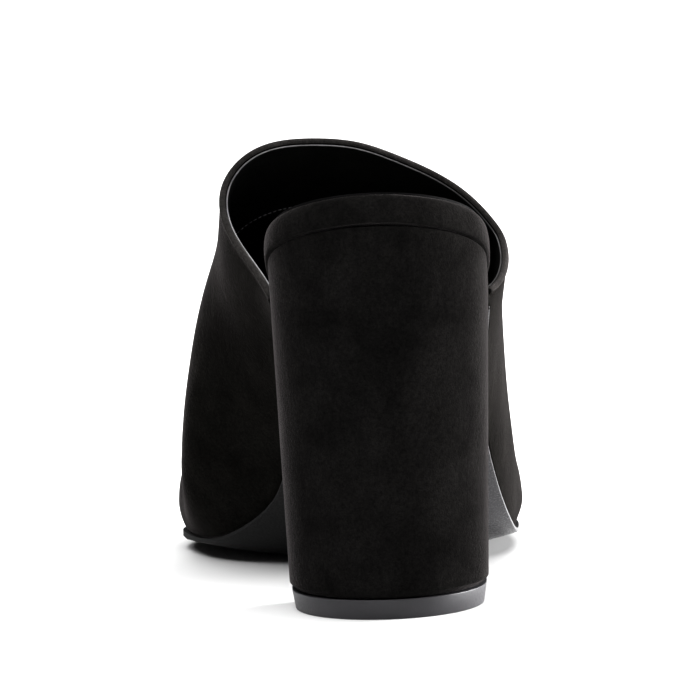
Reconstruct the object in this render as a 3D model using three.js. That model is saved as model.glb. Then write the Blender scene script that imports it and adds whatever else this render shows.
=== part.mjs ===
// A high mule for the right foot, on a covered block heel. It has five pieces: the upper, the padded
// insole with its thick wrapped seat, the thin outsole, the heel block and the heel's top lift.
// Millimetres, +Z up, toe towards +Y. The inner side of the foot is towards -X. Until the last step,
// widths are measured from the heel's middle line and places along the shoe from the back of the seat.

import * as THREE from "three";
import { mergeVertices } from "three/addons/utils/BufferGeometryUtils.js";

// Driving dimensions of the last
const shoeLength = 222;
const ballWidth = 87;
const seatWidth = 57;
const heelHeight = 100.4;
const instepHeight = 76;
const toeReach = 30;

// Thicknesses and joints
const upperWall = 2;
const soleThickness = 3;
const waistThickness = 1.8;
const soleEdge = 2.4;
const waistEdge = 1.2;
const floorPress = 0.05;
const soleMargin = 1;
const seatThickness = 7.8;
const footbedThickness = 3.5;
const seam = 0.4;

// Heel block and top lift
const liftThickness = 5;
const heelFootWidth = 50.4;
const heelUnderset = 5.3;
const breastFootPlace = 49;
const breastPlace = 58;
const breastCorner = 5;
const heelInset = 0.8;
const heelEdgeRound = 1.2;
const liftInset = 0.5;
const liftTaper = 0.8;

// How round the two ends of the outline are: length of the rounding and its squareness
const seatRound = { length: 32, power: 2.05 };
const toeRound = { length: 62, power: 2.15 };

// The bottom of the last. at: share of the shoe's length. drop: height of the middle line as a share of
// the heel's. inner, outer: half widths as shares of the ball's width. dish: how far the edges stand
// above the middle line, as a share of the ball's width.
const bottom = [
  { at: 0.0, drop: 1.0, inner: 0.328, outer: 0.328, dish: 0.0 },
  { at: 0.12, drop: 0.9, inner: 0.328, outer: 0.328, dish: 0.0 },
  { at: 0.225, drop: 0.79, inner: 0.325, outer: 0.326, dish: 0.0 },
  { at: 0.27, drop: 0.715, inner: 0.32, outer: 0.32, dish: 0.003 },
  { at: 0.33, drop: 0.585, inner: 0.313, outer: 0.308, dish: 0.02 },
  { at: 0.42, drop: 0.332, inner: 0.288, outer: 0.292, dish: 0.044 },
  { at: 0.5, drop: 0.121, inner: 0.34, outer: 0.324, dish: 0.055 },
  { at: 0.55, drop: 0.036, inner: 0.437, outer: 0.35, dish: 0.048 },
  { at: 0.6, drop: 0.0, inner: 0.535, outer: 0.366, dish: 0.034 },
  { at: 0.64, drop: 0.0, inner: 0.583, outer: 0.37, dish: 0.025 },
  { at: 0.69, drop: 0.0, inner: 0.62, outer: 0.37, dish: 0.022 },
  { at: 0.76, drop: 0.0, inner: 0.648, outer: 0.352, dish: 0.02 },
  { at: 0.85, drop: 0.015, inner: 0.625, outer: 0.32, dish: 0.006 },
  { at: 1.0, drop: 0.07, inner: 0.6, outer: 0.25, dish: 0.0 },
];

// The body over it. at: share of the shoe's length. crown: height of the ridge over the middle line as a
// share of the instep's. ridge: how far the ridge lies from the heel's middle line, as a share of the
// ball's width. bulgeIn, bulgeOut: how far each wall stands out past the bottom, as shares of the ball's
// width. full: height of the fullest place, as a share of the crown. squareIn, squareOut: power of each
// side's curve from there to the ridge.
const body = [
  { at: 0.24, crown: 0.695, ridge: -0.097, bulgeIn: 0.006, bulgeOut: 0.094, full: 0.417, squareIn: 3.27, squareOut: 1.92 },
  { at: 0.33, crown: 0.845, ridge: -0.098, bulgeIn: 0.14, bulgeOut: 0.086, full: 0.58, squareIn: 2.82, squareOut: 1.84 },
  { at: 0.42, crown: 0.979, ridge: -0.093, bulgeIn: 0.201, bulgeOut: 0.069, full: 0.59, squareIn: 2.52, squareOut: 1.78 },
  { at: 0.5, crown: 1.024, ridge: -0.1, bulgeIn: 0.223, bulgeOut: 0.032, full: 0.56, squareIn: 2.49, squareOut: 1.92 },
  { at: 0.55, crown: 0.94, ridge: -0.111, bulgeIn: 0.174, bulgeOut: 0.014, full: 0.43, squareIn: 2.56, squareOut: 1.88 },
  { at: 0.6, crown: 0.82, ridge: -0.12, bulgeIn: 0.104, bulgeOut: 0.012, full: 0.3, squareIn: 2.45, squareOut: 1.88 },
  { at: 0.65, crown: 0.7, ridge: -0.13, bulgeIn: 0.046, bulgeOut: 0.02, full: 0.19, squareIn: 2.28, squareOut: 1.98 },
  { at: 0.7, crown: 0.6, ridge: -0.14, bulgeIn: 0.018, bulgeOut: 0.026, full: 0.15, squareIn: 2.12, squareOut: 2.07 },
  { at: 0.8, crown: 0.46, ridge: -0.15, bulgeIn: 0.025, bulgeOut: 0.028, full: 0.25, squareIn: 2.1, squareOut: 2.1 },
  { at: 0.9, crown: 0.36, ridge: -0.16, bulgeIn: 0.03, bulgeOut: 0.03, full: 0.34, squareIn: 2.1, squareOut: 2.1 },
  { at: 1.0, crown: 0.27, ridge: -0.17, bulgeIn: 0.03, bulgeOut: 0.03, full: 0.5, squareIn: 2.1, squareOut: 2.1 },
];

// The collar, from the inner wing over the ridge to the outer wing. around: share of the way round.
// at: how far forward it lies, as a share of the way from the wings to the throat.
const wingPlace = 55;
const throatPlace = 94;
const collar = [
  { around: 0.0, at: 0.0 },
  { around: 0.08, at: 0.25 },
  { around: 0.16, at: 0.57 },
  { around: 0.25, at: 0.69 },
  { around: 0.38, at: 0.765 },
  { around: 0.5, at: 0.86 },
  { around: 0.62, at: 0.945 },
  { around: 0.75, at: 0.925 },
  { around: 0.8, at: 0.888 },
  { around: 0.84, at: 0.835 },
  { around: 0.87, at: 0.735 },
  { around: 0.9, at: 0.56 },
  { around: 1.0, at: 0.0 },
];

// Counts of facets
const upperSteps = 38;
const upperRounds = 40;
const outlineSteps = 44;
const acrossSteps = 6;
const heelSteps = 20;

// A smooth curve through a table's rows that never overshoots them
function read(table, key, column, place) {
  const end = table.length - 1;
  const slope = (i) =>
    (table[i + 1][column] - table[i][column]) / (table[i + 1][key] - table[i][key]);
  const tangent = (i) => {
    if (i === 0 || i === end) return slope(i === 0 ? 0 : end - 1);
    const [a, b] = [slope(i - 1), slope(i)];
    return a * b <= 0 ? 0 : (2 * a * b) / (a + b);
  };
  let i = 0;
  while (i < end - 1 && place > table[i + 1][key]) i++;
  const span = table[i + 1][key] - table[i][key];
  const t = THREE.MathUtils.clamp((place - table[i][key]) / span, 0, 1);
  const [p, q] = [table[i][column], table[i + 1][column]];
  return (
    p * (1 + 2 * t) * (1 - t) ** 2 +
    tangent(i) * span * t * (1 - t) ** 2 +
    q * t * t * (3 - 2 * t) -
    tangent(i + 1) * span * t * t * (1 - t)
  );
}

const bottomValue = (column, y) => read(bottom, "at", column, y / shoeLength);
const bodyValue = (column, y) => read(body, "at", column, y / shoeLength);

// Height of the insole's underside along its middle line
const tread = soleThickness + seam;
const bottomLine = (y) => tread + (heelHeight - tread) * bottomValue("drop", y);

// How far the insole's edges stand above that line
const dish = (y) => ballWidth * bottomValue("dish", y);

// The bottom line's upward normal, in the plane of the shoe's length
function bottomNormal(y) {
  const step = 0.5;
  const rise = (bottomLine(y + step) - bottomLine(y - step)) / (2 * step);
  return new THREE.Vector3(0, -rise, 1).normalize();
}

// 0 at the very end, rising to 1 where the rounding stops
function roundEnd(distance, { length, power }) {
  const share = THREE.MathUtils.clamp(distance / length, 0, 1);
  return (1 - (1 - share) ** power) ** (1 / power);
}

// Middle of the toe's end
const toeSwing = (ballWidth * (bottom.at(-1).outer - bottom.at(-1).inner)) / 2;

// Plan outline of the bottom: the signed distance of one side from the heel's middle line
function outlineX(side, y) {
  const seatShare = roundEnd(y, seatRound);
  const toeShare = roundEnd(shoeLength - y, toeRound);
  const width = ballWidth * bottomValue(side < 0 ? "inner" : "outer", y);
  const swing = toeSwing * THREE.MathUtils.smoothstep(y, shoeLength - toeRound.length, shoeLength);
  return swing + (side * width - swing) * seatShare * toeShare;
}

const featherPoint = (side, y) => new THREE.Vector3(outlineX(side, y), y, bottomLine(y) + dish(y));

// The ridge over a station. Near the toe it falls behind the station, so that the sections fan round.
function ridgePoint(y) {
  const fan = THREE.MathUtils.clamp((y - shoeLength + 2 * toeReach) / (2 * toeReach), 0, 1) ** 2;
  const back = y - toeReach * fan;
  const height = bottomLine(back) + instepHeight * bodyValue("crown", back);
  return new THREE.Vector3(THREE.MathUtils.lerp(ballWidth * bodyValue("ridge", back), toeSwing, fan), back, height);
}

// Share of the climb from the feather edge to the ridge that the wall below the fullest place takes
const wallShare = 0.3;

// A point of the upper's outer face. around: 0 at the inner feather edge, 0.5 on the ridge, 1 at the outer.
function facePoint(y, around) {
  const side = around < 0.5 ? -1 : 1;
  const climb = 1 - Math.abs(2 * around - 1);
  const foot = featherPoint(side, y);
  const ridge = ridgePoint(y);
  const out = new THREE.Vector3(foot.x - ridge.x, foot.y - ridge.y, 0);
  const reach = out.length();
  out.divideScalar(reach);
  const bulge = ballWidth * bodyValue(side < 0 ? "bulgeIn" : "bulgeOut", y);
  const full = bodyValue("full", y);
  const power = 2 / bodyValue(side < 0 ? "squareIn" : "squareOut", y);
  let away = 0;
  let lift = 0;
  if (climb < wallShare) {
    const t = climb / wallShare;
    away = reach + bulge * (2 * t - t * t);
    lift = full * t;
  } else {
    const angle = ((climb - wallShare) / (1 - wallShare)) * (Math.PI / 2);
    away = (reach + bulge) * Math.max(Math.cos(angle), 0) ** power;
    lift = full + (1 - full) * Math.sin(angle) ** power;
  }
  const height = foot.z + (ridge.z - foot.z) * lift;
  return out.multiplyScalar(away).add(new THREE.Vector3(ridge.x, ridge.y, height));
}

// A mesh from points and quads; doubled points are merged and collapsed faces dropped
function meshOf(name, quads, material) {
  const places = [];
  for (const [a, b, c, d] of quads) {
    for (const p of [a, b, c, a, c, d]) places.push(p.x, p.y, p.z);
  }
  const loose = new THREE.BufferGeometry();
  loose.setAttribute("position", new THREE.Float32BufferAttribute(places, 3));
  const merged = mergeVertices(loose, 1e-3);
  const index = merged.index.array;
  const kept = [];
  for (let i = 0; i < index.length; i += 3) {
    const [a, b, c] = [index[i], index[i + 1], index[i + 2]];
    if (a !== b && b !== c && c !== a) kept.push(a, b, c);
  }
  merged.setIndex(kept);
  merged.computeVertexNormals();
  const mesh = new THREE.Mesh(merged, material);
  mesh.name = name;
  return mesh;
}

// Quads between the rows of a grid of points
function gridQuads(rows, flip = false) {
  const quads = [];
  for (let i = 0; i + 1 < rows.length; i++) {
    for (let j = 0; j + 1 < rows[i].length; j++) {
      const quad = [rows[i][j], rows[i][j + 1], rows[i + 1][j + 1], rows[i + 1][j]];
      quads.push(flip ? quad.reverse() : quad);
    }
  }
  return quads;
}

// A solid from a stack of rings, the lowest first. Each ring runs from the back along the inner side to
// the front, and back along the outer side. Ladders of rungs between the two sides close the stack.
function stackOf(rings, rung = (a, b) => [a, b]) {
  const half = rings[0].length / 2;
  const ladder = (ring, k) => ring.slice(0, half).map((p, i) => rung(p, ring[ring.length - 1 - i], k));
  const quads = [];
  for (let k = 0; k + 1 < rings.length; k++) {
    const [low, high] = [rings[k], rings[k + 1]];
    for (let i = 0; i + 1 < low.length; i++) {
      if (i + 1 !== half) quads.push([low[i], high[i], high[i + 1], low[i + 1]]);
    }
    const [lowLadder, highLadder] = [ladder(low, k), ladder(high, k + 1)];
    quads.push(...gridQuads([lowLadder[0], highLadder[0]]));
    quads.push(...gridQuads([lowLadder.at(-1), highLadder.at(-1)], true));
  }
  const top = rings.length - 1;
  quads.push(...gridQuads(ladder(rings[0], 0), true), ...gridQuads(ladder(rings[top], top)));
  return quads;
}

// A rung that hangs from its two ends, straight over its middle third, and that stops at the floor.
// Short rungs hang less.
function hangingRung(a, b, hang) {
  const fullLength = 40;
  const depth = hang * Math.min(1, a.distanceTo(b) / fullLength);
  return Array.from({ length: acrossSteps + 1 }, (_, k) => {
    const t = k / acrossSteps;
    const out = Math.max(0, (Math.abs(2 * t - 1) - 1 / 3) * 1.5);
    const p = a.clone().lerp(b, t);
    p.z = Math.max(p.z - depth * (1 - out * out), 0);
    return p;
  });
}

// Places along a length, close together where its ends are round
const spread = (from, to, steps) =>
  Array.from({ length: steps + 1 }, (_, i) => from + ((to - from) * (1 - Math.cos((Math.PI * i) / steps))) / 2);

// A closed plan outline: along the inner side to the front, and back along the outer side
const outlineOf = (places, xOf) => [
  ...places.map((y) => new THREE.Vector2(xOf(-1, y), y)),
  ...places.map((y) => new THREE.Vector2(xOf(1, y), y)).reverse(),
];

// The outline moved in by inset(y), square to itself. Where the two sides meet, doubled points stay doubled.
function moveIn(outline, inset) {
  const count = outline.length;
  const other = (i, step) => {
    let k = i;
    do k = (k + step + count) % count;
    while (outline[k].distanceTo(outline[i]) < 1e-3);
    return outline[k];
  };
  return outline.map((p, i) => {
    const along = other(i, 1).clone().sub(other(i, -1)).normalize();
    return new THREE.Vector2(p.x + along.y * inset(p.y), p.y - along.x * inset(p.y));
  });
}

// The outline laid on the bottom's edges, then raised by rise(y) along the bottom line's normal
const layOn = (outline, rise) =>
  outline.map((p) =>
    new THREE.Vector3(p.x, p.y, bottomLine(p.y) + dish(p.y)).addScaledVector(bottomNormal(p.y), rise(p.y)),
  );

// Materials
const suede = new THREE.MeshStandardMaterial({ color: 0x141313, roughness: 0.95, metalness: 0 });
const footbedLeather = new THREE.MeshStandardMaterial({ color: 0x101010, roughness: 0.6, metalness: 0 });
const soleRubber = new THREE.MeshStandardMaterial({ color: 0x2b2a2d, roughness: 0.55, metalness: 0 });

function makeUpper() {
  const collarPlace = (around) =>
    wingPlace + (throatPlace - wingPlace) * read(collar, "around", "at", around);
  const outer = [];
  const inner = [];
  for (let i = 0; i <= upperSteps; i++) {
    const outerRow = [];
    const innerRow = [];
    for (let j = 0; j <= upperRounds; j++) {
      const around = j / upperRounds;
      const start = collarPlace(around);
      const share = Math.sin((Math.PI / 2) * (i / upperSteps));
      const y = i < upperSteps ? start + (shoeLength - start) * share : shoeLength;
      const p = facePoint(y, around);
      outerRow.push(p);
      innerRow.push(p.clone().addScaledVector(faceNormal(y, around), -upperWall));
    }
    outer.push(outerRow);
    inner.push(innerRow);
  }
  const column = (rows, j) => rows.map((row) => row[j]);
  return meshOf(
    "upper",
    [
      ...gridQuads(outer),
      ...gridQuads(inner, true),
      ...gridQuads([inner[0], outer[0]]),
      ...gridQuads([column(inner, 0), column(outer, 0)], true),
      ...gridQuads([column(inner, upperRounds), column(outer, upperRounds)]),
    ],
    suede,
  );
}

// The outer face's normal. The two sides meet at the toe's middle line, so there it is their mean.
function faceNormal(y, around) {
  const step = 0.4;
  const turn = 0.004;
  const normalOf = (place) => {
    const ahead = facePoint(Math.min(y + step, shoeLength), place);
    const behind = facePoint(Math.min(y + step, shoeLength) - 2 * step, place);
    const low = facePoint(y, Math.max(place - turn, 0));
    const high = facePoint(y, Math.min(place + turn, 1));
    return high.sub(low).cross(ahead.sub(behind)).normalize();
  };
  const normal = normalOf(around);
  return y < shoeLength ? normal : normal.add(normalOf(1 - around)).normalize();
}

function makeOutsole() {
  const towardsBall = (y) => THREE.MathUtils.smoothstep(y, 100, 133);
  const thickness = (y) => THREE.MathUtils.lerp(waistThickness, soleThickness, towardsBall(y));
  const edge = (y) => THREE.MathUtils.lerp(waistEdge, soleEdge, THREE.MathUtils.smoothstep(y, 125, 180));
  const margin = (y) => soleMargin * THREE.MathUtils.smoothstep(y, 90, 160);
  const start = breastPlace + seam + waistThickness;
  const outline = outlineOf(spread(start, shoeLength, outlineSteps), outlineX);
  const ring = (inset, depth) =>
    layOn(moveIn(outline, (y) => inset - margin(y)), (y) => -seam - depth * edge(y));
  const rung = (a, b, k) => {
    const extra = k === 2 ? 0 : thickness(a.y) - edge(a.y) + floorPress;
    return hangingRung(a, b, dish(a.y) + extra);
  };
  return meshOf("outsole", stackOf([ring(0.6, 1), ring(0, 0.7), ring(0, 0)], rung), soleRubber);
}

function makeInsole() {
  const thinning = (y) => THREE.MathUtils.smoothstep(y, wingPlace, 110);
  const thickness = (y) => THREE.MathUtils.lerp(seatThickness, footbedThickness, thinning(y));
  const inset = (y) =>
    (upperWall + seam) * THREE.MathUtils.smoothstep(y, wingPlace - 6, wingPlace - 2);
  const edge = [
    { inset: 0.5, rise: 0 },
    { inset: 0, rise: 0.12 },
    { inset: 0, rise: 0.6 },
    { inset: 0.7, rise: 0.88 },
    { inset: 2.2, rise: 1 },
  ];
  const outline = moveIn(outlineOf(spread(0, shoeLength, outlineSteps), outlineX), inset);
  const rings = edge.map((row) =>
    layOn(moveIn(outline, () => row.inset), (y) => thickness(y) * row.rise),
  );
  const rung = (a, b) => hangingRung(a, b, dish(a.y));
  return meshOf("insole", stackOf(rings, rung), footbedLeather);
}

// A ring of the heel: share 0 is its foot, on the top lift, and share 1 its seat, under the insole
function heelRing(share, inset, footZ) {
  const back = THREE.MathUtils.lerp(heelUnderset, heelInset, share);
  const front = THREE.MathUtils.lerp(breastFootPlace, breastPlace, share);
  const half = THREE.MathUtils.lerp(heelFootWidth / 2, seatWidth / 2 - heelInset, share);
  const outline = outlineOf(spread(back, front, heelSteps), (side, y) => {
    const corner = breastCorner * (1 - roundEnd(front - y, { length: breastCorner, power: 2 }));
    return side * (half - corner) * roundEnd(y - back, seatRound);
  });
  return moveIn(outline, () => inset).map(
    (p) => new THREE.Vector3(p.x, p.y, THREE.MathUtils.lerp(footZ, bottomLine(p.y) - seam, share)),
  );
}

function makeHeel() {
  const foot = liftThickness + seam;
  const rings = [heelRing(0, heelEdgeRound, foot), heelRing(0.015, 0, foot)];
  for (let k = 1; k <= 6; k++) rings.push(heelRing(k / 6, 0, foot));
  return meshOf("heel", stackOf(rings), suede);
}

function makeTopLift() {
  const at = (z, inset) => heelRing(0, inset, 0).map((p) => new THREE.Vector3(p.x, p.y, z));
  return meshOf("top_lift", stackOf([at(0, liftInset + liftTaper), at(liftThickness, liftInset)]), soleRubber);
}

const shoe = new THREE.Group();
shoe.add(makeUpper(), makeInsole(), makeOutsole(), makeHeel(), makeTopLift());

// Turned so that the toe lies straight ahead of the heel, then moved to stand over the origin
for (const piece of shoe.children) piece.geometry.rotateZ(Math.atan2(toeSwing, shoeLength));
const box = new THREE.Box3().setFromObject(shoe);
const middle = box.getCenter(new THREE.Vector3());
for (const piece of shoe.children) piece.geometry.translate(-middle.x, -middle.y, -box.min.z);
export default shoe;
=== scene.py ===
# %% [markdown]
# # A high mule for the right foot
#
# This lesson dresses a imported model of a shoe, one piece at a time. The model holds five plain solids: an
# upper, an insole, an outsole, a heel and a top lift. Their sizes and places are fixed, so every finished
# piece is made over the solid that it stands for. Lengths are in metres, +Z is up, the toe points towards
# +Y, and the inner side of the foot is towards -X.
#
# The frame is loaded first. Each cell prints what it made or measured, to be compared with the real thing.

# %% Load the frame
import math

import bmesh
import bpy
from mathutils import Matrix, Vector
from mathutils.bvhtree import BVHTree


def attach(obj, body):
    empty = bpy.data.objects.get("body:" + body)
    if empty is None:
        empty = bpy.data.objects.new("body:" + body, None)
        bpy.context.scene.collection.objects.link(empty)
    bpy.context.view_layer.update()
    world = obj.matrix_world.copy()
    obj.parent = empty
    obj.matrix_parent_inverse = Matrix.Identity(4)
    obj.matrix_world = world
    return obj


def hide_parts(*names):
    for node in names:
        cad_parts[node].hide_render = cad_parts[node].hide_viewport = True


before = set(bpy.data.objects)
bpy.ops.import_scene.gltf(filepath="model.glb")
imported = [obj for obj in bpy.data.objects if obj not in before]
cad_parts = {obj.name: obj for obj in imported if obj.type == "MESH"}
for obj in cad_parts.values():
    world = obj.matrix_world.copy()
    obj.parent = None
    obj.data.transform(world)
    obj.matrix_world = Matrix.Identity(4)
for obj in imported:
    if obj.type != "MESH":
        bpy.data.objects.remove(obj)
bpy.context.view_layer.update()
mm = 0.001
print("solids in the frame:", ", ".join(sorted(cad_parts)))

# %% [markdown]
# ## Camera
#
# The picture was taken from behind the heel and a little above it, with a long lens from far away, and
# the camera was held two degrees off level. A camera could be turned by three angles until it looks
# right. Here its three axes are worked out one after the other, because a roll is then one plain step:
# the level directions to the right and upwards are mixed by the roll's cosine and sine.

# %% Where the camera stands
PHOTO_WIDTH = 700
SENSOR = 36.0
FOCAL_PIXELS = 8854.3
TARGET = Vector((-4.300, -72.249, 65.698)) * mm
DISTANCE = 2.24
AZIMUTH, ELEVATION, ROLL = math.radians(-2.757), math.radians(5.935), math.radians(2.154)

level_part = math.cos(ELEVATION)
to_camera = Vector((math.sin(AZIMUTH) * level_part, -math.cos(AZIMUTH) * level_part, math.sin(ELEVATION)))
level_right = (-to_camera).cross(Vector((0, 0, 1))).normalized()
level_up = level_right.cross(-to_camera)
view_right = level_right * math.cos(ROLL) - level_up * math.sin(ROLL)
view_up = level_right * math.sin(ROLL) + level_up * math.cos(ROLL)
print("towards the camera:", [round(part, 3) for part in to_camera])

# %% Add the camera
camera_data = bpy.data.cameras.new("camera")
camera_data.lens = FOCAL_PIXELS * SENSOR / PHOTO_WIDTH
camera_data.sensor_width = SENSOR
camera_data.clip_end = 100
camera = bpy.data.objects.new("camera", camera_data)
bpy.context.collection.objects.link(camera)
axes = Matrix((view_right, view_up, to_camera)).transposed().to_4x4()
camera.matrix_world = Matrix.Translation(TARGET + to_camera * DISTANCE) @ axes
bpy.context.scene.camera = camera
print("lens:", round(camera_data.lens, 1), "mm")

# %% [markdown]
# ## Short calls for nodes
#
# A finish is a small graph of nodes. It could be wired by hand in the shader editor, one link at a time.
# In code, a few short calls keep each graph readable: one call makes one node, fills in its inputs, and
# hands back the output that the next node needs. A value is set on the socket, and a socket is linked.

# %% Nodes
class Nodes:
    """A node tree, with short calls for the nodes that this shoe's finishes use."""

    def __init__(self, tree):
        self.tree = tree

    def put(self, socket, value):
        if isinstance(value, bpy.types.NodeSocket):
            self.tree.links.new(value, socket)
        else:
            socket.default_value = value

    def node(self, kind, inputs=None, **settings):
        made = self.tree.nodes.new(kind)
        for key, value in settings.items():
            setattr(made, key, value)
        for key, value in (inputs or {}).items():
            self.put(made.inputs[key], value)
        return made

    def noise(self, place, scale, detail, rough, distort=0.0):
        inputs = {"Vector": place, "Scale": scale, "Detail": detail, "Roughness": rough}
        return self.node("ShaderNodeTexNoise", {**inputs, "Distortion": distort}).outputs["Fac"]

    def stretched(self, place, scale):
        return self.node("ShaderNodeMapping", {"Vector": place, "Scale": scale}).outputs["Vector"]

    def remap(self, value, low, high, to_low=0.0, to_high=1.0):
        inputs = {"Value": value, "From Min": low, "From Max": high, "To Min": to_low, "To Max": to_high}
        return self.node("ShaderNodeMapRange", inputs).outputs["Result"]

    def math(self, operation, a, b):
        return self.node("ShaderNodeMath", {0: a, 1: b}, operation=operation).outputs[0]

    def mix(self, amount, a, b, blend="MIX"):
        made = self.node("ShaderNodeMix", data_type="RGBA", blend_type=blend)
        for number, value in ((0, amount), (6, a), (7, b)):
            self.put(made.inputs[number], value)
        return made.outputs[2]

    def bump(self, height, distance, strength, normal=None):
        inputs = {"Height": height, "Distance": distance, "Strength": strength}
        if normal is not None:
            inputs["Normal"] = normal
        return self.node("ShaderNodeBump", inputs).outputs["Normal"]


# %% [markdown]
# ## Effects and finishes
#
# Suede, leather and rubber each cover more than one piece of this shoe. Their pattern could be copied
# into every material, but then a change has to be made many times. A node group is built once, with
# named inputs and outputs, and each material places it with values of its own. The shader itself stays
# in the material, and what is the same all over a surface is set on the shader's own sockets.
#
# Every pattern reads the object's own coordinates, so it stays on the shoe when the shoe is moved.

# %% Start an effect
COLOUR, NUMBER, VECTOR = "NodeSocketColor", "NodeSocketFloat", "NodeSocketVector"


def new_effect(name, inputs, outputs):
    """A shader node group: its nodes, the sockets that it is given and the sockets that it fills."""
    group = bpy.data.node_groups.new(name, "ShaderNodeTree")
    for title, kind in inputs.items():
        group.interface.new_socket(name=title, in_out="INPUT", socket_type=kind)
    for title, kind in outputs.items():
        group.interface.new_socket(name=title, in_out="OUTPUT", socket_type=kind)
    print("effect:", name, "takes", ", ".join(inputs))
    nodes = Nodes(group)
    return nodes, nodes.node("NodeGroupInput").outputs, nodes.node("NodeGroupOutput").inputs


# %% Start a finish
class Finish(Nodes):
    """A material, from shared effects and nodes of its own."""

    def __init__(self, name):
        self.material = bpy.data.materials.new(name)
        self.material.use_nodes = True
        super().__init__(self.material.node_tree)
        self.shader = self.tree.nodes["Principled BSDF"]
        self.place = self.node("ShaderNodeTexCoord").outputs["Object"]

    def effect(self, group, **values):
        return self.node("ShaderNodeGroup", {"Place": self.place, **values}, node_tree=group).outputs

    def across(self):
        """How far a point is towards the outer side of the foot, in metres."""
        return self.node("ShaderNodeSeparateXYZ", {"Vector": self.place}).outputs["X"]

    def done(self, **values):
        for key, value in values.items():
            self.put(self.shader.inputs[key.replace("_", " ")], value)
        print("finish:", self.material.name, "has", len(self.tree.nodes), "nodes")
        return self.material


# %% [markdown]
# ## Suede
#
# Suede is leather with its inner side out, brushed to a short nap. Up close it shows fine fibres and
# tufts, and from further off soft clouds and strokes where a hand has laid the nap one way or the other.
# It has no shine, but its fibres catch light where the surface turns away. A picture of suede could be
# wrapped round the shoe. Noise is used instead, at four scales, because it needs no picture and has no
# seam: two scales give the nap, two give the flecks, and both also lift the surface a little.

# %% The nap's effect
def build_suede_nap():
    inputs = {"Place": VECTOR, "Deep": COLOUR, "Worn": COLOUR}
    outputs = {"Colour": COLOUR, "Roughness": NUMBER, "Normal": VECTOR}
    n, given, filled = new_effect("suede_nap", inputs, outputs)
    place = given["Place"]
    clouds = n.noise(place, 70.0, 3.0, 0.55, 0.5)
    strokes = n.noise(n.stretched(place, (420.0, 420.0, 170.0)), 1.0, 3.0, 0.6, 0.6)
    nap = n.math("ADD", n.math("MULTIPLY", clouds, 0.8), n.math("MULTIPLY", strokes, 0.2))
    fibres = n.noise(place, 2400.0, 2.0, 0.7)
    tufts = n.noise(place, 1000.0, 2.0, 0.6)
    fleck = n.math("ADD", n.math("MULTIPLY", fibres, 0.55), n.math("MULTIPLY", tufts, 0.45))
    shade = n.mix(n.remap(nap, 0.36, 0.66), given["Deep"], given["Worn"])
    tuft = n.mix(n.remap(fleck, 0.36, 0.66), (0.62, 0.62, 0.62, 1), (1.4, 1.38, 1.36, 1))
    n.put(filled["Colour"], n.mix(1.0, shade, tuft, "MULTIPLY"))
    n.put(filled["Roughness"], n.remap(nap, 0.3, 0.7, 1.0, 0.88))
    n.put(filled["Normal"], n.bump(fleck, 0.0003, 0.7, n.bump(nap, 0.0006, 0.4)))
    return n.tree


suede_nap = build_suede_nap()

# %% [markdown]
# Three suedes share that nap. The upper's is the darkest, the heel's is a touch lighter, and the fold
# along the collar is paler, because the light from above that the fold catches is painted into its colour.

# %% Three suedes
def suede(name, deep, worn, sheen):
    s = Finish(name)
    nap = s.effect(suede_nap, Deep=(*deep, 1), Worn=(*worn, 1))
    return s.done(
        Base_Color=nap["Colour"],
        Roughness=nap["Roughness"],
        Normal=nap["Normal"],
        Sheen_Weight=sheen,
        Sheen_Roughness=0.26,
        Sheen_Tint=(1.0, 0.93, 0.94, 1),
        Specular_IOR_Level=0.0,
    )


upper_suede = suede("upper_suede", (0.0066, 0.0064, 0.0056), (0.0134, 0.0129, 0.0115), 0.17)
heel_suede = suede("heel_suede", (0.0080, 0.0077, 0.0075), (0.0158, 0.0152, 0.0148), 0.19)
# Painted light: the fold's suede is made paler to show the light that falls on it from above.
fold_suede_painted_light = suede("fold_suede_painted_light", (0.032, 0.0302, 0.0292), (0.054, 0.0515, 0.0505), 0.3)

# %% [markdown]
# ## Smooth leather
#
# The lining and the sock are smooth leather, with pores and fine creases a fraction of a millimetre apart.
# The sole's pale cut edge is as finely grained, so it takes the same effect in other tones. Cells give
# the pores, and a warped noise the creases. Both together are a height for a bump, which is enough at
# this size: real dents would need millions of faces.

# %% The grain's effect
def build_leather_grain():
    inputs = {"Place": VECTOR, "Deep": COLOUR, "Worn": COLOUR, "Smoothest": NUMBER, "Roughest": NUMBER}
    outputs = {"Colour": COLOUR, "Roughness": NUMBER, "Normal": VECTOR}
    n, given, filled = new_effect("leather_grain", {**inputs, "Pores": NUMBER}, outputs)
    place = given["Place"]
    clouds = n.noise(place, 140.0, 3.0, 0.55)
    cells = n.node("ShaderNodeTexVoronoi", {"Vector": place, "Scale": 1400.0}).outputs["Distance"]
    creases = n.noise(place, 420.0, 4.0, 0.6, 0.6)
    height = n.math("ADD", n.math("MULTIPLY", cells, 0.5), creases)
    n.put(filled["Colour"], n.mix(n.remap(clouds, 0.35, 0.65), given["Deep"], given["Worn"]))
    n.put(filled["Roughness"], n.remap(creases, 0.3, 0.7, given["Smoothest"], given["Roughest"]))
    n.put(filled["Normal"], n.bump(height, 0.00012, given["Pores"]))
    return n.tree


leather_grain = build_leather_grain()


# %% Lining, sock and cut sole
def leather(name, deep, worn, rough, pores, shine):
    s = Finish(name)
    colours = {"Deep": (*deep, 1), "Worn": (*worn, 1)}
    grain = s.effect(leather_grain, **colours, Smoothest=rough - 0.08, Roughest=rough + 0.1, Pores=pores)
    return s.done(
        Base_Color=grain["Colour"],
        Roughness=grain["Roughness"],
        Normal=grain["Normal"],
        Specular_IOR_Level=shine,
    )


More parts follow.
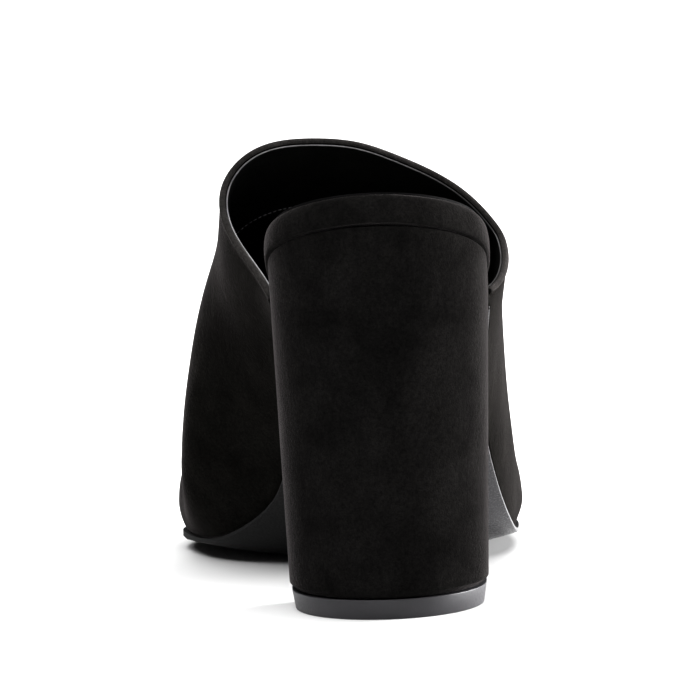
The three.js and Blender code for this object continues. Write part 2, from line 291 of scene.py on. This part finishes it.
lining = leather("lining_leather", (0.0030, 0.0032, 0.0028), (0.0055, 0.0058, 0.0050), 0.46, 0.5, 0.35)
sock_leather = leather("sock_leather", (0.005, 0.0048, 0.005), (0.009, 0.0085, 0.009), 0.8, 0.5, 0.08)
sole_edge = leather("sole_edge", (0.055, 0.054, 0.056), (0.095, 0.092, 0.097), 0.5, 0.3, 0.35)

# %% [markdown]
# ## The lining's cut edge
#
# Along the collar the lining is trimmed with a blade, and its raw edge shows as a thin pale line. The
# line is brightest on the inner side and over the top, and lies in shade towards the outer side, where
# its colour is darkened as painted shade. No other piece has this, so it needs no shared effect: a rubbed
# tone is mixed with a dark painted shade by how far across the shoe a point is.

# %% Cut edge
def cut_edge():
    s = Finish("lining_edge")
    rubs = s.noise(s.place, 260.0, 3.0, 0.6)
    pale = s.mix(s.remap(rubs, 0.35, 0.65), (0.14, 0.137, 0.141, 1), (0.26, 0.255, 0.263, 1))
    # Painted shade: the pale edge turns dark towards the outer side of the foot, where it lies in shade.
    tone = s.mix(s.remap(s.across(), 0.002, 0.03), pale, (0.038, 0.036, 0.037, 1))
    return s.done(Base_Color=tone, Roughness=0.42, Normal=s.bump(rubs, 0.0001, 0.3))


lining_edge = cut_edge()

# %% [markdown]
# ## Rubber
#
# The lift and the painted sole have the close, even skin of moulded rubber: broad clouds of tone, a fine
# speck, and on the lift long scuffs that run round it. One effect gives all three as masks, and each
# material mixes its own colours with them.

# %% The rubber's effect
def build_rubber_skin():
    inputs = {"Place": VECTOR, "Scuff Depth": NUMBER, "Speck": NUMBER}
    outputs = {"Clouds": NUMBER, "Scuffs": NUMBER, "Dulling": NUMBER, "Normal": VECTOR}
    n, given, filled = new_effect("rubber_skin", inputs, outputs)
    place = given["Place"]
    fine = n.noise(place, 1800.0, 2.0, 0.5)
    scuffs = n.noise(n.stretched(place, (90.0, 700.0, 300.0)), 1.0, 3.0, 0.6)
    height = n.math("ADD", fine, n.math("MULTIPLY", scuffs, given["Scuff Depth"]))
    n.put(filled["Clouds"], n.remap(n.noise(place, 60.0, 4.0, 0.6), 0.35, 0.68))
    n.put(filled["Scuffs"], n.remap(scuffs, 0.6, 0.8, 0.0, 0.12))
    n.put(filled["Dulling"], n.remap(fine, 0.3, 0.7, -0.06, 0.08))
    n.put(filled["Normal"], n.bump(height, 0.00004, given["Speck"]))
    return n.tree


rubber_skin = build_rubber_skin()


# %% The lift's rubber
def lift_finish():
    s = Finish("lift_rubber")
    skin = s.effect(rubber_skin, **{"Scuff Depth": 0.5, "Speck": 0.4})
    tone = s.mix(skin["Clouds"], (0.050, 0.049, 0.053, 1), (0.065, 0.063, 0.069, 1))
    tone = s.mix(skin["Scuffs"], tone, (0.08775, 0.08505, 0.09315, 1))
    rough = s.math("ADD", skin["Dulling"], 0.42)
    return s.done(Base_Color=tone, Roughness=rough, Normal=skin["Normal"], Specular_IOR_Level=0.4)


lift_rubber = lift_finish()

# %% [markdown]
# The sole's underside is painted. Its inner half is matt, and near black as painted shade; its outer half
# is grey with a soft gloss. So tone and roughness both change across the shoe.

# %% The sole's paint
def painted_sole():
    s = Finish("sole_paint")
    skin = s.effect(rubber_skin, **{"Scuff Depth": 0.0, "Speck": 0.25})
    unshaded_glossy_half = s.remap(s.across(), -0.012, 0.016)
    # Painted shade: the inner half's near-black tone stands in for the shade that falls there.
    painted_shade_black = s.mix(skin["Clouds"], (0.0022, 0.0021, 0.0023, 1), (0.0034, 0.0033, 0.0036, 1))
    grey = s.mix(skin["Clouds"], (0.05, 0.0487, 0.0524, 1), (0.062, 0.0604, 0.065, 1))
    rough = s.math("ADD", s.remap(unshaded_glossy_half, 0.0, 1.0, 0.9, 0.24), skin["Dulling"])
    tone = s.mix(unshaded_glossy_half, painted_shade_black, grey)
    return s.done(Base_Color=tone, Roughness=rough, Normal=skin["Normal"], Specular_IOR_Level=0.75)


sole_paint = painted_sole()

# %% [markdown]
# ## Thread
#
# The seam's thread is a pale grey twist. A wave's stripes stand for its plies.

# %% Thread
def twisted_thread():
    s = Finish("thread")
    twist = s.node("ShaderNodeTexWave", {"Vector": s.place, "Scale": 900.0}).outputs["Fac"]
    tone = s.mix(twist, (0.42, 0.41, 0.43, 1), (0.72, 0.7, 0.74, 1))
    return s.done(Base_Color=tone, Roughness=0.7, Normal=s.bump(twist, 0.00006, 0.5))


thread = twisted_thread()

# %% [markdown]
# ## A copy to work on
#
# The frame's solids may not be changed, so each finished piece starts as a copy of one. A solid arrives
# as loose triangles. Its doubled points are merged, so that it is one skin, and its triangles are joined
# to four-sided faces, which a subdivision surface rounds far more evenly. Operators act on all that is
# selected, and loading the frame leaves its solids selected, so a helper first selects one piece alone.

# %% Copy a solid
MERGE_WITHIN = 2e-6
QUAD_ANGLE = math.radians(75)


def only(piece):
    bpy.ops.object.select_all(action="DESELECT")
    piece.select_set(True)
    bpy.context.view_layer.objects.active = piece


def copy_of(node, name, materials):
    piece = bpy.data.objects.new(name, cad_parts[node].data.copy())
    bpy.context.collection.objects.link(piece)
    piece.data.materials.clear()
    for material in materials:
        piece.data.materials.append(material)
    only(piece)
    bpy.ops.object.mode_set(mode="EDIT")
    bpy.ops.mesh.select_all(action="SELECT")
    bpy.ops.mesh.remove_doubles(threshold=MERGE_WITHIN)
    bpy.ops.mesh.tris_convert_to_quads(face_threshold=QUAD_ANGLE, shape_threshold=QUAD_ANGLE)
    bpy.ops.mesh.normals_make_consistent(inside=False)
    bpy.ops.object.mode_set(mode="OBJECT")
    for polygon in piece.data.polygons:
        polygon.material_index = 0
    print(name, "starts with", len(piece.data.polygons), "faces")
    return piece


# %% Finish a piece
def apply_modifier(piece, kind, **settings):
    only(piece)
    made = piece.modifiers.new(kind.lower(), kind)
    for key, value in settings.items():
        setattr(made, key, value)
    bpy.ops.object.modifier_apply(modifier=made.name)


def round_corners(piece, width, segments, degrees):
    """Bevels the edges where faces meet at more than this angle."""
    limit = {"limit_method": "ANGLE", "angle_limit": math.radians(degrees)}
    apply_modifier(piece, "BEVEL", width=width, segments=segments, **limit)


def subdivide(piece, levels):
    apply_modifier(piece, "SUBSURF", levels=levels, render_levels=levels)


def smooth(piece, degrees):
    only(piece)
    bpy.ops.object.shade_smooth_by_angle(angle=math.radians(degrees))
    print(piece.name, "ends with", len(piece.data.polygons), "faces")


def place(piece, node, slot):
    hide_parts(node)
    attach(piece, "root")


# %% [markdown]
# ## Finding faces
#
# By hand, faces are picked with the mouse. In code they are picked by what they are: by the way that
# they face, or as a group that spreads from face to face until it meets a sharp corner, as when a
# surface is filled with paint. The outer skin of the upper, its lining and its two rims are told apart
# in this way.

# %% Spread over faces
def flat_across(degrees):
    """Whether two faces meet at an edge with less than this angle."""
    limit = math.radians(degrees)
    return lambda edge: len(edge.link_faces) == 2 and edge.calc_face_angle(9) < limit


def flood(faces, crosses):
    """The faces in groups that are joined over the edges that crosses(edge) allows, the largest first."""
    left = set(faces)
    groups = []
    while left:
        stack = [left.pop()]
        group = set(stack)
        while stack:
            for edge in stack.pop().edges:
                fresh = left.intersection(edge.link_faces) if crosses(edge) else ()
                left.difference_update(fresh)
                group.update(fresh)
                stack.extend(fresh)
        groups.append(group)
    return sorted(groups, key=lambda g: -sum(f.calc_area() for f in g))


# %% Select in edit mode
def start_editing(piece, kind):
    """Opens the piece in edit mode with nothing selected, and hands back its mesh."""
    only(piece)
    bpy.ops.object.mode_set(mode="EDIT")
    bpy.ops.mesh.select_mode(type=kind)
    bpy.ops.mesh.select_all(action="DESELECT")
    return bmesh.from_edit_mesh(piece.data)


def select_these(piece, parts):
    """Selects faces or edges, and shows Blender that they are."""
    for part in parts:
        part.select_set(True)
    bmesh.update_edit_mesh(piece.data)
    print(piece.name, "has", len(parts), "selected")


# %% [markdown]
# ## Upper
#
# The upper is suede outside and leather inside, two millimetres thick. At the collar the suede is turned
# over in a small roll, a narrow groove follows, and then the lining's cut edge stands up beside it. A
# bevel would give only a round rim, and a curve swept along the collar would not join the two skins. So
# the rim's strip of faces is taken out, and a section of twelve points is set up across the wall at each
# place round the collar. ACROSS and UP are that section in millimetres, from the outer skin to the inner
# one, and FINISH names the finish between one point and the next. No operator places points like that,
# so this piece is made in mesh code.

# %% The collar's section
SUEDE, LINING, EDGE, FOLD = 0, 1, 2, 3
ACROSS = (0.0, -0.36, -0.3, 0.2, 0.9, 1.34, 1.46, 1.55, 1.64, 1.88, 1.97, 2.0)
UP = (-1.1, -0.62, -0.1, 0.28, 0.24, -0.16, -0.55, -0.45, -0.33, -0.33, -0.45, -0.95)
FINISH = (SUEDE, FOLD, FOLD, FOLD, FOLD, SUEDE, LINING, EDGE, EDGE, EDGE, LINING)
print("the collar's section has", len(ACROSS), "points")


# %% Tell the upper's faces apart
WALL_CORNER = 52


def sort_upper(mesh):
    """The outer skin's points, the strip of faces under the upper and the strip round its collar."""
    groups = flood(mesh.faces, flat_across(WALL_CORNER))
    outer = {v for f in groups[0] for v in f.verts}
    strips = {f for f in mesh.faces if len(outer.intersection(f.verts)) not in (0, len(f.verts))}
    for face in mesh.faces:
        if face not in strips and not outer.intersection(face.verts):
            face.material_index = LINING
    under = max(flood(strips, flat_across(WALL_CORNER)), key=len)
    rim = {f for f in strips - under if f.calc_center_median().y < 0}
    print("faces under the upper:", len(under), "and round the collar:", len(rim))
    return outer, under, rim


# %% [markdown]
# The collar's line comes from small flat faces, so its direction jumps a little from one to the next.
# Plain smoothing would pull the whole collar inwards. Taking half a step towards the neighbours and then
# slightly more than half a step back, a few times over, evens out the jumps and keeps the size.

# %% Follow the collar
RIM_ROUNDS = 4
STEP_IN, STEP_BACK = 0.5, -0.52


def mates_of(faces, outer):
    """For each outer point on these faces, the nearest inner point that an edge joins it to."""
    mates = {}
    for face in faces:
        for edge in face.edges:
            a, b = edge.verts
            if (a in outer) == (b in outer):
                continue
            if b in outer:
                a, b = b, a
            if a not in mates or (b.co - a.co).length < (mates[a].co - a.co).length:
                mates[a] = b
    return mates


def neighbours_on(rim, mates):
    """For each outer point of the collar, the points beside it and the way out of the wall."""
    beside = {v: [] for v in mates}
    out_of = {v: Vector() for v in mates}
    for face in rim:
        for v in out_of.keys() & set(face.verts):
            out_of[v] += face.normal
        for edge in face.edges:
            a, b = edge.verts
            if a in beside and b in beside:
                beside[a].append(b)
                beside[b].append(a)
    return beside, out_of


# %% Directions along the collar
def collar_frames(mates, rim):
    """For each outer point of the collar, its place, the wall's thickness as a vector, and upwards."""
    beside, out_of = neighbours_on(rim, mates)
    at = {v: v.co.copy() for v in beside}
    through = {v: mates[v].co - v.co for v in beside}
    for share in (STEP_IN, STEP_BACK) * RIM_ROUNDS:
        for table in (at, through):
            halfway = {}
            for v, near in beside.items():
                if len(near) == 2:
                    halfway[v] = (table[near[0]] + table[near[1]]) / 2
            for v, middle in halfway.items():
                table[v] = table[v] + (middle - table[v]) * share
    frames = {}
    for v, near in beside.items():
        along = at[near[0]] - at[near[1]] if len(near) == 2 else at[near[0]] - at[v]
        up = along.cross(through[v]).normalized()
        if up.dot(out_of[v]) < 0:
            up.negate()
        frames[v] = (at[v], through[v], up)
    return frames


# %% [markdown]
# With a place and two directions at each point of the collar, the section is set up there. Its first and
# last points are the wall's own outer and inner points, moved, and the ten between them are new.

# %% Set up the section
def section_columns(mesh, mates, frames):
    columns = {}
    for v, (place_at, through, up) in frames.items():
        scale = through.length / ACROSS[-1]
        way = through.normalized()
        points = [place_at + way * (a * scale) + up * (u * mm) for a, u in zip(ACROSS, UP)]
        v.co = points[0]
        mates[v].co = points[-1]
        columns[v] = [v, *[mesh.verts.new(p) for p in points[1:-1]], mates[v]]
    print("the section stands at", len(columns), "places")
    return columns


def close_ends(mesh, under, columns):
    """Makes the two faces where the collar ends anew, with the section's points in them."""
    old = [f for f in under if any(v in f.verts and columns[v][-1] in f.verts for v in columns)]
    for face in old:
        ring = list(face.verts)
        for v, column in columns.items():
            if v not in ring or column[-1] not in ring:
                continue
            i, j = ring.index(v), ring.index(column[-1])
            if (i + 1) % len(ring) == j:
                ring = ring[: i + 1] + column[1:-1] + ring[i + 1 :]
            else:
                ring = ring[: j + 1] + column[-2:0:-1] + ring[j + 1 :]
        mesh.faces.new(ring)
    return old


# %% Skin the section
FOLD_FACES = range(3, 8)


def skin_section(mesh, columns, links, crease):
    """Fills each stretch between two sections with faces, and keeps its two outer lines sharp."""
    for a, b, normal in links:
        first, second = columns[a], columns[b]
        for k, finish in enumerate(FINISH):
            made = mesh.faces.new([first[k], first[k + 1], second[k + 1], second[k]])
            made.material_index = finish
            made.normal_update()
            if made.normal.dot(normal) < 0 and k in FOLD_FACES:
                made.normal_flip()
        for k in (0, len(FINISH)):
            mesh.edges.get((first[k], second[k]))[crease] = 1.0


# %% [markdown]
# Where the upper meets the sole, the suede reaches down a quarter of a millimetre further than the solid,
# so that no gap shows over the sole's pale edge. The lower edges are creased, which tells the
# subdivision surface to keep them sharp.

# %% Build the upper
FEATHER_DROP = 0.28 * mm


def build_upper(mesh):
    outer, under, rim = sort_upper(mesh)
    crease = mesh.edges.layers.float.new("crease_edge")
    drop = {v: Vector() for f in under for v in f.verts}
    for face in under:
        for v in face.verts:
            drop[v] += face.normal
        for edge in face.edges:
            if (edge.verts[0] in outer) == (edge.verts[1] in outer):
                edge[crease] = 1.0
    mates = mates_of(rim, outer)
    columns = section_columns(mesh, mates, collar_frames(mates, rim))
    ends = [([v for v in face.verts if v in columns], face.normal.copy()) for face in rim]
    links = [(pair[0], pair[1], normal) for pair, normal in ends if len(pair) == 2]
    ends_under = close_ends(mesh, under, columns)
    bmesh.ops.delete(mesh, geom=[*rim, *ends_under], context="FACES_ONLY")
    skin_section(mesh, columns, links, crease)
    for v, normal in drop.items():
        if v in outer and v not in columns:
            v.co += normal.normalized() * FEATHER_DROP
    bmesh.ops.recalc_face_normals(mesh, faces=mesh.faces)


# %% Make the upper
upper = copy_of("upper", "upper_shell", [upper_suede, lining, lining_edge, fold_suede_painted_light])
upper_mesh = bmesh.new()
upper_mesh.from_mesh(upper.data)
build_upper(upper_mesh)
upper_mesh.to_mesh(upper.data)
upper_mesh.free()
subdivide(upper, 2)
smooth(upper, 55)
place(upper, "upper", "suede")

# %% [markdown]
# ## Seat
#
# Behind the upper the insole becomes a thick padded seat, wrapped in the heel's suede. It is firm, so no
# cloth simulation is needed: a subdivision surface rounds it as the padding does. Its lower edge stands
# hard on the heel, and is creased so that it stays tight, which leaves a fine dark groove there.

# %% Wrap the seat
SEAT_CORNER, FACING_DOWN, SEAT_EDGE_CREASE = 50, -0.6, 0.85
seat = copy_of("insole", "seat_wrap", [heel_suede])
seat_mesh = start_editing(seat, "EDGE")
corners = [edge for edge in seat_mesh.edges if not flat_across(SEAT_CORNER)(edge)]
lowest = [edge for edge in corners if min(face.normal.z for face in edge.link_faces) < FACING_DOWN]
select_these(seat, lowest)
bpy.ops.transform.edge_crease(value=SEAT_EDGE_CREASE)
bpy.ops.object.mode_set(mode="OBJECT")
subdivide(seat, 2)
smooth(seat, 50)
place(seat, "insole", "suede")

# %% [markdown]
# ## Sock
#
# The sock is the thin leather that the foot stands on. It lies on the seat and runs on into the shoe. It
# is cut from the seat's own top, so it follows every curve: all other faces are deleted, what is left is
# lifted a little, and Solidify gives it a thickness. Bevel then breaks its edge.

# %% Cut out the sock
SOCK_PROUD, SOCK_THICKNESS = 0.4 * mm, 0.8 * mm
LEVEL_ACROSS, FACING_UP, SOCK_CORNER = 0.2, 0.4, 24
sock = copy_of("insole", "sock", [sock_leather])
sock_mesh = start_editing(sock, "FACE")
level = [face for face in sock_mesh.faces if abs(face.normal.x) < LEVEL_ACROSS]
sock_top = flood([face for face in level if face.normal.z > FACING_UP], flat_across(SOCK_CORNER))[0]
select_these(sock, [face for face in sock_mesh.faces if face not in sock_top])
bpy.ops.mesh.delete(type="FACE")
bpy.ops.mesh.select_all(action="SELECT")
bpy.ops.transform.shrink_fatten(value=SOCK_PROUD)
bpy.ops.object.mode_set(mode="OBJECT")

# %% Give the sock its thickness
apply_modifier(sock, "SOLIDIFY", thickness=SOCK_THICKNESS, offset=-1.0)
round_corners(sock, 0.3 * mm, 2, 50)
subdivide(sock, 2)
smooth(sock, 50)
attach(sock, "root")

# %% [markdown]
# ## The lining's seam
#
# A row of small stitches runs round the inside of the lining, a little in front of the collar. The row
# could be drawn as a curve, but it has to lie on the lining everywhere. So rays are sent from the middle
# of the opening towards the lining, round most of a turn, and where they land is the seam's line.

# %% Find the seam's line
SEAM_MIDDLE = Vector((-6.0, -8.2, 62.0)) * mm
SEAM_START, SEAM_TURN, SEAM_LEAN = -28, 236, 0.02


def seam_line(steps=360):
    tree = BVHTree.FromObject(upper, bpy.context.evaluated_depsgraph_get())
    line = []
    for step in range(steps + 1):
        turn = math.radians(SEAM_START + step * SEAM_TURN / steps)
        way = Vector((math.cos(turn), SEAM_LEAN, math.sin(turn))).normalized()
        place_at, normal, _, _ = tree.ray_cast(SEAM_MIDDLE, way)
        line.append((place_at, normal if normal.dot(way) < 0 else -normal))
    return line


seam = seam_line()
print("the seam is", round(sum((b[0] - a[0]).length for a, b in zip(seam, seam[1:])) / mm), "mm long")

# %% [markdown]
# One stitch is a short bar of thread that arches a little and dips into the leather at both ends. It is
# modelled once, from a six-sided cylinder lying along X: a cut across its middle is swelled and raised,
# and each end is drawn out, narrowed and lowered. It has few faces, because there are about a hundred.

# %% Model one stitch
STITCH_LENGTH, STITCH_RADIUS = 1.02 * mm, 0.17 * mm
SHANK, WAIST, TIP = 0.64, 0.9, 0.35
ARCH, DIP = 0.028 * mm, 0.04 * mm
bpy.ops.object.select_all(action="DESELECT")
bpy.ops.mesh.primitive_cylinder_add(
    vertices=6, radius=STITCH_RADIUS * WAIST, depth=STITCH_LENGTH * SHANK, rotation=(0, math.pi / 2, 0)
)
stitch = bpy.context.object
bpy.ops.object.transform_apply(location=True, rotation=True, scale=True)
bpy.ops.object.mode_set(mode="EDIT")
bpy.ops.mesh.select_all(action="SELECT")
bpy.ops.mesh.bisect(plane_co=(0, 0, 0), plane_no=(1, 0, 0))
bpy.ops.transform.resize(value=(1, 1 / WAIST, 1 / WAIST), center_override=(0, 0, 0))
bpy.ops.transform.translate(value=(0, 0, ARCH))
bpy.ops.object.mode_set(mode="OBJECT")

# %% Draw out the stitch's ends
for side in (-1, 1):
    stitch_mesh = start_editing(stitch, "FACE")
    select_these(stitch, [face for face in stitch_mesh.faces if face.normal.x * side > 0.9])
    reach = side * STITCH_LENGTH * (1 - SHANK) / 2
    bpy.ops.mesh.extrude_region_move(TRANSFORM_OT_translate={"value": (reach, 0, -DIP)})
    bpy.ops.transform.resize(
        value=(1, TIP / WAIST, TIP / WAIST), center_override=(side * STITCH_LENGTH / 2, 0, -DIP)
    )
    bpy.ops.object.mode_set(mode="OBJECT")
print("one stitch has", len(stitch.data.polygons), "faces")

# %% [markdown]
# Each copy has a mesh of its own. It is turned so that its length runs along the seam and its arch stands
# off the leather. All copies are then joined, and their places are applied to the mesh.

# %% Sew the seam
STITCH_PITCH, STITCH_LIFT = 1.38 * mm, 0.052 * mm


def sew(line):
    copies = []
    travelled, due = 0.0, 0.0
    for (a, normal), (b, _) in zip(line, line[1:]):
        along = (b - a).normalized()
        across = normal.cross(along).normalized()
        axes_at = Matrix((along, across, along.cross(across))).transposed().to_4x4()
        while due <= travelled + (b - a).length:
            middle = a + along * (due - travelled) + normal * STITCH_LIFT
            copy = bpy.data.objects.new("lining_stitches", stitch.data.copy())
            bpy.context.collection.objects.link(copy)
            copy.matrix_world = Matrix.Translation(middle) @ axes_at
            copies.append(copy)
            due += STITCH_PITCH
        travelled += (b - a).length
    return copies


sewn = sew(seam)
bpy.data.objects.remove(stitch)
print("the seam has", len(sewn), "stitches")

# %% Join the stitches
stitches = sewn[0]
only(stitches)
for copy in sewn:
    copy.select_set(True)
bpy.ops.object.join()
bpy.ops.object.transform_apply(location=True, rotation=True, scale=True)
stitches.name = "lining_stitches"
stitches.data.materials.append(thread)
smooth(stitches, 60)
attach(stitches, "root")

# %% [markdown]
# ## Sole
#
# The sole is a thin sheet of rubber from the heel's breast to the toe. Its underside is painted, and its
# cut edge is left pale, the line that shows all round under the upper. The two largest groups of faces
# are its top and its underside, so all the others are its edge. A small bevel breaks the corners.

# %% Make the sole
SOLE_CORNER = 35
sole = copy_of("outsole", "sole_sheet", [sole_paint, sole_edge])
sole_mesh = start_editing(sole, "FACE")
top_and_underside_first = flood(sole_mesh.faces, flat_across(SOLE_CORNER))
select_these(sole, [face for group in top_and_underside_first[2:] for face in group])
sole.active_material_index = 1
bpy.ops.object.material_slot_assign()
bpy.ops.object.mode_set(mode="OBJECT")
round_corners(sole, 0.25 * mm, 2, SOLE_CORNER)
subdivide(sole, 1)
smooth(sole, 50)
place(sole, "outsole", "sole_rubber")

# %% [markdown]
# ## Heel
#
# The heel is a tall block with a skin of suede glued round it. Where the skin is turned in under the
# seat, a fine groove is left. So the block's top is lowered by a third of a millimetre, its corners are
# rounded by a bevel, and a subdivision surface evens out its curves.

# %% Cover the heel
HEEL_GROOVE = 0.35 * mm
HEEL_TOP = 0.7
heel = copy_of("heel", "heel_cover", [heel_suede])
heel_mesh = start_editing(heel, "FACE")
select_these(heel, [face for face in heel_mesh.faces if face.normal.z > HEEL_TOP])
bpy.ops.transform.translate(value=(0, 0, -HEEL_GROOVE))
bpy.ops.object.mode_set(mode="OBJECT")
round_corners(heel, 0.8 * mm, 3, 40)
subdivide(heel, 2)
smooth(heel, 50)
place(heel, "heel", "heel_suede")

# %% [markdown]
# ## Top lift
#
# The lift is the hard rubber tread under the heel. It is cut flat and sharp, so it gets only a small
# bevel that catches light along its edges.

# %% Make the lift
lift = copy_of("top_lift", "lift_pad", [lift_rubber])
round_corners(lift, 0.35 * mm, 3, 40)
smooth(lift, 50)
place(lift, "top_lift", "lift_rubber")

# %% [markdown]
# ## Floor
#
# The shoe stands on plain white paper. A plane is enough for it, so large that its end is far away.

# %% Lay the floor
bpy.ops.object.select_all(action="DESELECT")
bpy.ops.mesh.primitive_plane_add(size=12)
floor = bpy.context.object
floor.name = "floor"
paper = Finish("floor_white")
floor.data.materials.append(
    paper.done(Base_Color=(0.7, 0.7, 0.7, 1), Roughness=0.9, Specular_IOR_Level=0.1)
)

# %% [markdown]
# ## Light
#
# The studio has a broad soft light overhead, a soft window of light to the right of the toe, and pale
# walls. The light overhead could be a large panel, but then it would be brighter near the panel. A sun
# with a very wide disc gives the same soft light everywhere.

# %% Overhead light and walls
def aimed(light, place_at, aim_at):
    light.location = place_at
    light.rotation_euler = (Vector(aim_at) - Vector(place_at)).to_track_quat("-Z", "Y").to_euler()
    bpy.context.collection.objects.link(light)
    print("light:", light.name)


walls = bpy.data.worlds.new("studio")
bpy.context.scene.world = walls
walls.use_nodes = True
walls.node_tree.nodes["Background"].inputs["Color"].default_value = (1, 1, 1, 1)
walls.node_tree.nodes["Background"].inputs["Strength"].default_value = 0.1

sky = bpy.data.lights.new("sky_soft", "SUN")
sky.energy = 6.4
sky.angle = math.radians(82)
aimed(bpy.data.objects.new("sky_soft", sky), (-0.15, 0.0, 2.0), (0, 0, 0))

# %% Window on the right
window = bpy.data.lights.new("key_right", "AREA")
window.shape = "RECTANGLE"
window.size, window.size_y = 0.8, 0.45
window.energy = 60
aimed(bpy.data.objects.new("key_right", window), (1.28, 0.42, 0.28), (0, -0.02, 0.06))
bpy.context.scene.view_settings.view_transform = "Standard"
bpy.context.scene.view_settings.gamma = 0.78
